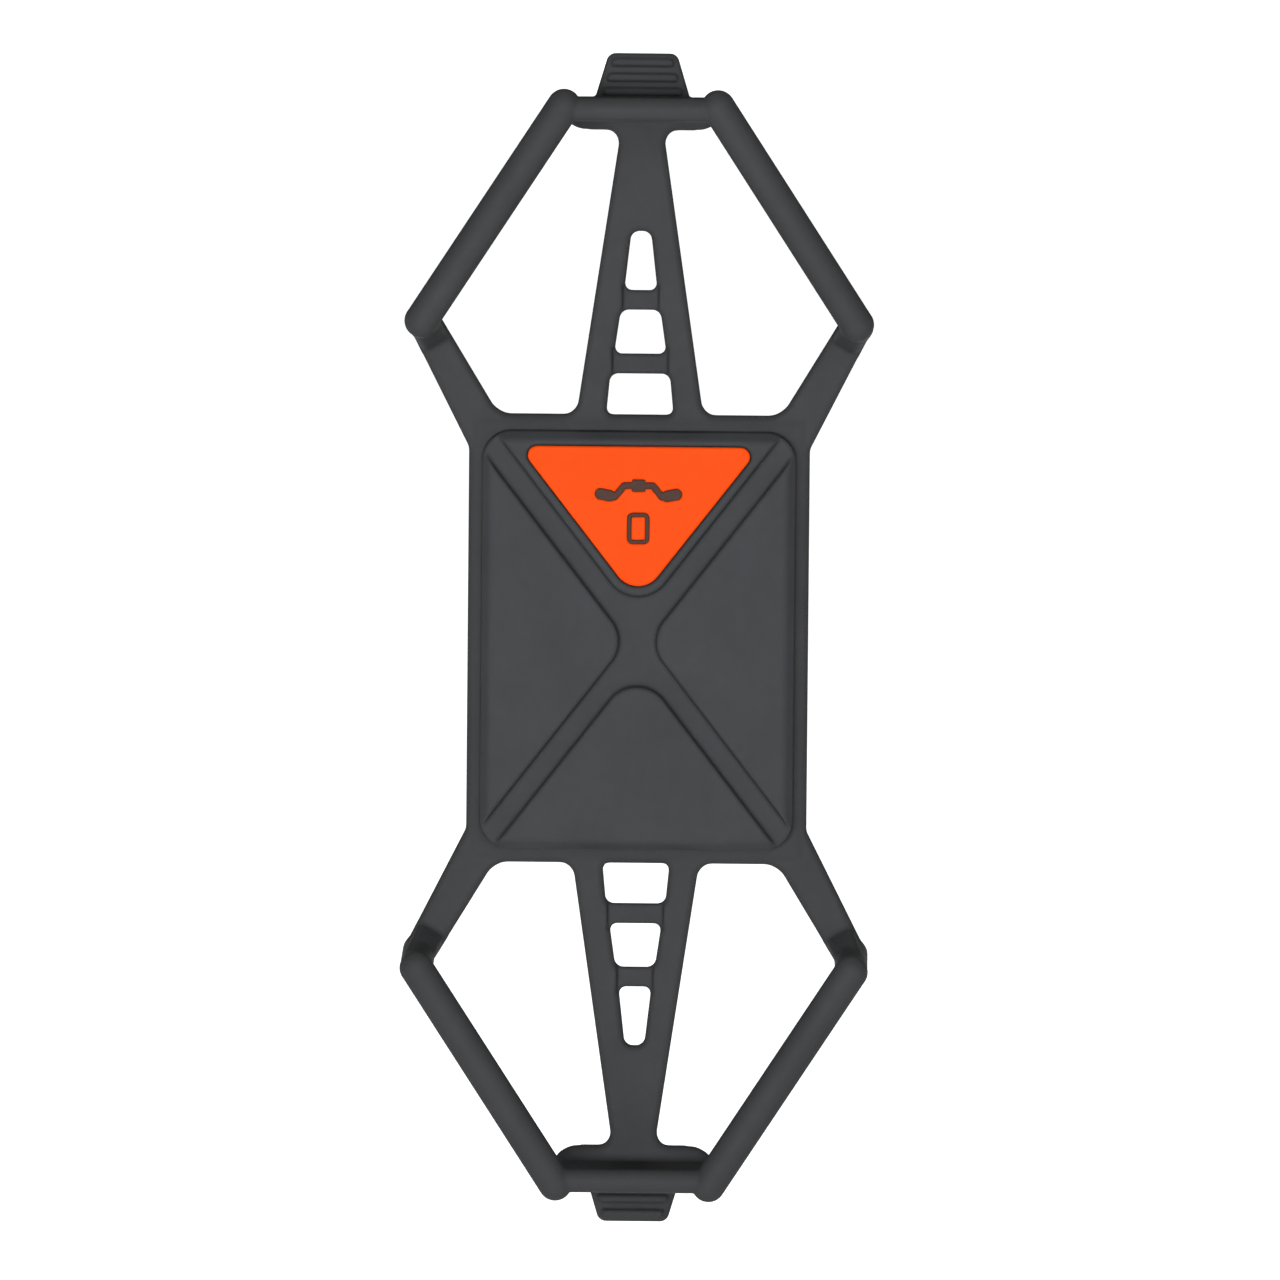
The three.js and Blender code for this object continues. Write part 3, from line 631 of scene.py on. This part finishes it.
def badge_outline(x, z):
    """A triangle standing on its tip."""
    def edge(way):
        return (way * x - (z - BADGE_APEX) / math.tan(BADGE_EDGE)) * math.sin(BADGE_EDGE)

    tip_lean = math.cos(BADGE_EDGE) ** 2 - math.sin(BADGE_EDGE) ** 2
    tip = common(edge(1), edge(-1), BADGE_TIP_R, lean=tip_lean)
    return common(tip, z - BADGE_TOP, BADGE_CORNER_R, lean=-math.cos(BADGE_EDGE))


# %% Panel shape
def panel(x, y, z):
    height = PANEL_BACK - y
    outline = common(np.abs(x) - PANEL_X, np.abs(z) - PANEL_Z, edge=PANEL_CORNER)
    wall = outline + WALL_SLOPE * height
    bevel = outline + WALL_SLOPE * BEVEL_FOOT + BEVEL_SLOPE * (height - BEVEL_FOOT)
    bevel = bevel / math.hypot(1, BEVEL_SLOPE)
    body = common(np.maximum(wall, bevel), height - PANEL_HEIGHT, edge=0.5)
    body = np.maximum(body, -height)
    floor = PANEL_HEIGHT - CHANNEL_DEPTH - height
    channel = common(-pads(x, z) + CHANNEL_WALL * (PANEL_HEIGHT - height), floor, edge=0.4)
    body = cut(body, channel, edge=0.35)
    return cut(body, np.maximum(badge_outline(x, z) - BADGE_GAP, y - badge_high[1]), edge=0.12)


panel_piece = solid("panel", panel, panel_low, panel_high, 0.28)
dress(panel_piece, panel_rubber)
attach(panel_piece, "cradle")
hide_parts("face_panel")

# %% [markdown]
# ## The badge
#
# A stiff orange insert, snapped into the top pad and hardly proud of it. It carries a plain
# pictogram, a handlebar above a phone. That could be printed, but as a dark inlay it is real
# geometry, like a two-shot moulding.

# %% Badge and pictogram
def stroke(x, z, points, half):
    """A line of round-ended strokes through points."""
    parts = [
        rod((x, z), start, end, half) for start, end in zip(points[:-1], points[1:])
    ]
    return np.minimum.reduce(np.broadcast_arrays(*parts))


BAR_SIGN_Z, BAR_SIGN_HALF = 21.9, 0.46
GRIP_START, GRIP_END, GRIP_HALF = (4.0, 20.44), (5.3, 20.7), 0.8
CLAMP_HALF_X, CLAMP_HALF_Z = 0.95, 0.85
PHONE_SIGN_Z, PHONE_HALF_X, PHONE_HALF_Z, PHONE_LINE_HALF = 15.9, 1.25, 1.9, 0.3


def pictogram_outline(x, z):
    """A handlebar with its clamp, and a phone's outline below it."""
    x = np.abs(x)
    bar = stroke(x, z, [(0, BAR_SIGN_Z), (2.0, BAR_SIGN_Z), (3.3, 20.3), GRIP_END], BAR_SIGN_HALF)
    grip = stroke(x, z, [GRIP_START, GRIP_END], GRIP_HALF)
    clamp = common(x - CLAMP_HALF_X, np.abs(z - BAR_SIGN_Z) - CLAMP_HALF_Z, edge=0.25)
    phone = common(x - PHONE_HALF_X, np.abs(z - PHONE_SIGN_Z) - PHONE_HALF_Z, edge=0.5)
    phone = np.abs(phone) - PHONE_LINE_HALF
    return np.minimum(np.minimum(bar, grip), np.minimum(clamp, phone))


INLAY_DEPTH, INLAY_GAP = 0.5, 0.03
INLAY_MIDDLE, INLAY_HALF = BADGE_FRONT + 0.2, 0.27
BADGE_MIDDLE, BADGE_HALF = (BADGE_FRONT + badge_high[1]) / 2, (badge_high[1] - BADGE_FRONT) / 2


def badge(x, y, z):
    body = slab(badge_outline(x, z), y, BADGE_MIDDLE, BADGE_HALF, edge=0.3)
    return np.maximum(body, -np.maximum(pictogram_outline(x, z), y - BADGE_FRONT - INLAY_DEPTH))


def inlay(x, y, z):
    return slab(pictogram_outline(x, z) + INLAY_GAP, y, INLAY_MIDDLE, INLAY_HALF, edge=0.1)


badge_piece = solid("orange_badge", badge, (-16, BADGE_FRONT, 7), (16, badge_high[1], BADGE_TOP), 0.16)
dress(badge_piece, badge_orange)
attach(badge_piece, "cradle")
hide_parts("badge")
inlay_piece = solid("pictogram", inlay, (-6.2, BADGE_FRONT - 0.1, 13.2), (6.2, BADGE_FRONT + 0.5, 23), 0.1)
dress(inlay_piece, pictogram_grey)
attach(inlay_piece, "cradle")

# %% [markdown]
# ## The bar strap
#
# A silicone band hooked to the base by a steel pin. It passes round the back of the handlebar and
# its free end is pulled forward under the base until a hole snaps over the peg. The band and its end
# are one piece here, cut only where the end starts to bend.

# %% Bar strap
_, band_high = box_mm("strap_band")
tail_low, _ = box_mm("strap_tail")
BAND_HALF, BAND_X = 1.2, band_high[0]
BAND_R = band_high[1] - BAND_HALF
EYE_Y, EYE_Z, EYE_R, PIN_R = -15.4, 13.8, 2.4, 1.3
HOLES_Y, HOLE_R = (-11.5, -6.3), 1.95
GRIPS_Y, GRIP_HALF_WIDTH, GRIP_DEPTH = (-17.7, -16.2, -14.7), 0.35, 0.5
END_CORNER = 2.2
FAR_INSIDE = -50


def bar_strap(x, y, z):
    x = np.abs(x)
    path = np.abs(np.where(y > 0, hypot(np.maximum(y, 0), z), np.abs(z)) - BAND_R) - BAND_HALF
    upper_end = np.where(z > 0, EYE_Y - y, FAR_INSIDE)
    lower_end = np.where(z < 0, common(x - BAND_X, tail_low[1] - y, edge=END_CORNER), x - BAND_X)
    width = np.maximum(upper_end, lower_end)
    body = common(path, width, edge=0.55)
    from_pin = hypot(y - EYE_Y, z - EYE_Z)
    body = join(body, common(from_pin - EYE_R, x - BAND_X, edge=0.55), fillet=1.0)
    body = cut(body, from_pin - PIN_R, edge=0.2)
    for hole in HOLES_Y:
        body = cut(body, np.maximum(hypot(x, y - hole) - HOLE_R, z), edge=0.3)
    for grip in GRIPS_Y:
        groove = common(np.abs(y - grip) - GRIP_HALF_WIDTH, z + BAND_R + BAND_HALF - GRIP_DEPTH, edge=0.25)
        body = cut(body, groove, edge=0.25)
    return body


STRAP_START_Y, STRAP_BEND_Y = 1.0, (0.6, -3.8)
whole = solid(
    "whole_strap", bar_strap,
    (-BAND_X, tail_low[1], -BAND_R - BAND_HALF), (BAND_X, band_high[1], EYE_Z + EYE_R), cell=0.4,
)
band = section(whole, "bar_strap", (1, STRAP_START_Y, -1), where=lambda place: place.z < 0)
dress_silicone(band, "bar_base", "strap_band")
tail = section(whole, "bar_strap_end", (1, STRAP_START_Y, 1), (2, 0, 1))
dress_silicone(tail, None, "strap_tail")
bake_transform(tail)
bpy.data.objects.remove(whole)

# %% [markdown]
# ## Rubber against the bar
#
# The saddle pad fills the gap between bar and base. Grooves along the bar let it give and grip. A
# rubber ring lies in a groove in the base, and stands out of it towards the turntable. It gives the
# swivel its drag.

# %% Saddle pad and friction ring
pad_low, pad_high = box_mm("saddle_pad")
ring_low, ring_high = box_mm("friction_ring")
PAD_OUTER, PAD_INNER, PAD_HALF_ANGLE = -pad_low[1], 11.1, math.radians(48)
GROOVE_ANGLES, GROOVE_R = (-0.6, -0.3, 0, 0.3, 0.6), 0.5
RING_INNER, RING_CLEARANCE = 9.0, 0.08
RING_FRONT, RING_BACK = box_mm("back_cover")[1][1] + RING_CLEARANCE, ring_high[1]
RING_BOX = (ring_low[0], RING_FRONT, ring_low[2]), (ring_high[0], RING_BACK, ring_high[2])
print("friction ring from", round(RING_FRONT, 2), "to", round(RING_BACK, 2), "mm")


def saddle_pad(x, y, z):
    radius = hypot(y, z)
    shell = np.abs(radius - (PAD_OUTER + PAD_INNER) / 2) - (PAD_OUTER - PAD_INNER) / 2
    sector = np.abs(z) * math.cos(PAD_HALF_ANGLE) + y * math.sin(PAD_HALF_ANGLE)
    body = common(common(shell, sector, edge=0.4), np.abs(x) - pad_high[0], edge=0.4)
    for angle in GROOVE_ANGLES:
        groove = hypot(y + PAD_INNER * math.cos(angle), z - PAD_INNER * math.sin(angle)) - GROOVE_R
        body = cut(body, groove, edge=0.2)
    return body


def friction_ring(x, y, z):
    middle, half = (RING_INNER + ring_high[0]) / 2, (ring_high[0] - RING_INNER) / 2
    ring = np.abs(hypot(x, z) - middle) - half
    return slab(ring, y, (RING_FRONT + RING_BACK) / 2, (RING_BACK - RING_FRONT) / 2, edge=0.15)


for name, shape, low, high in (
    ("saddle_pad", saddle_pad, pad_low, pad_high),
    ("friction_ring", friction_ring, *RING_BOX),
):
    piece = solid(f"soft_{name}", shape, low, high, 0.3)
    dress(piece, black_rubber)
    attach(piece, "bar_base")
    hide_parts(name)

# %% [markdown]
# ## The stiff parts
#
# Base, cover and plate are glass-filled nylon, with the fine sparkle of a textured mould; screws,
# pin and bolt are zinc-plated steel. They keep their drawn shape. Their edges get a small bevel,
# as real mouldings and turned parts have.

# %% Stiff parts
SHARP_FROM, BEVEL_FROM = math.radians(30), math.radians(40)
STIFF = {
    "base_housing": (black_plastic, "black_plastic", 0.45),
    "back_cover": (black_plastic, "black_plastic", 0.5),
    "core_plate": (black_plastic, "black_plastic", 0.3),
    "threaded_insert": (brass, "brass", 0.15),
}
for name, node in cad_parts.items():
    if node.hide_render:
        continue
    finish, slot, bevel = STIFF.get(name, (steel, "steel", 0.2))
    dress(node, finish)
    node.data.shade_smooth()
    node.data.set_sharp_from_angle(angle=SHARP_FROM)
    rounding = node.modifiers.new("edges", "BEVEL")
    rounding.width = bevel * MM
    rounding.segments = 3
    rounding.limit_method = "ANGLE"
    rounding.angle_limit = BEVEL_FROM
    print(name, "keeps its drawn shape, bevelled", bevel, "mm")

# %% [markdown]
# ## Studio
#
# A pale floor with low walls far behind, and large soft lamps. The main one stands low on the left
# in front, so that lower and left edges catch a little more light than upper and right ones.

# %% Studio
FLOOR_Z, FLOOR_HALF, WALL_TOP = -0.14, 5, 0.45


def softbox(name, place, size, power):
    data = bpy.data.lights.new(name, "AREA")
    data.shape = "SQUARE"
    data.size = size
    data.energy = power
    lamp = bpy.data.objects.new(name, data)
    lamp.location = Vector(place)
    lamp.rotation_mode = "QUATERNION"
    lamp.rotation_quaternion = (AIM - lamp.location).to_track_quat("-Z", "Y")
    bpy.context.scene.collection.objects.link(lamp)


def white_surround(strength):
    world = bpy.data.worlds.new("surround")
    world.use_nodes = True
    background = world.node_tree.nodes["Background"]
    background.inputs["Color"].default_value = (1, 1, 1, 1)
    background.inputs["Strength"].default_value = strength
    bpy.context.scene.world = world


def pale_floor(glow):
    """A square floor, with walls just high enough to hide the horizon."""
    mesh = bpy.data.meshes.new("floor")
    corners = [(-1, -1), (1, -1), (1, 1), (-1, 1)]
    rim = [(x * FLOOR_HALF, y * FLOOR_HALF, z) for z in (FLOOR_Z, WALL_TOP) for x, y in corners]
    walls = [(i, (i + 1) % 4, (i + 1) % 4 + 4, i + 4) for i in range(4)]
    mesh.from_pydata(rim, [], [(0, 1, 2, 3)] + walls)
    floor = bpy.data.objects.new("floor", mesh)
    bpy.context.scene.collection.objects.link(floor)
    material = surface("floor_paint", (0.9, 0.9, 0.9), 0.9, specular=0.0, mottle=0)
    shader = material.node_tree.nodes["Principled BSDF"]
    shader.inputs["Emission Color"].default_value = (1, 1, 1, 1)
    shader.inputs["Emission Strength"].default_value = glow
    mesh.materials.append(material)


white_surround(0.2)
pale_floor(0.85)
softbox("key", (-0.32, -1.6, -0.3), 0.9, 133)
softbox("fill", (0.35, -1.6, 0.5), 0.9, 21)
softbox("top light", (0, 0.6, 1.5), 1.0, 7)
bpy.context.scene.view_settings.view_transform = "Standard"
bpy.context.scene.view_settings.look = "None"
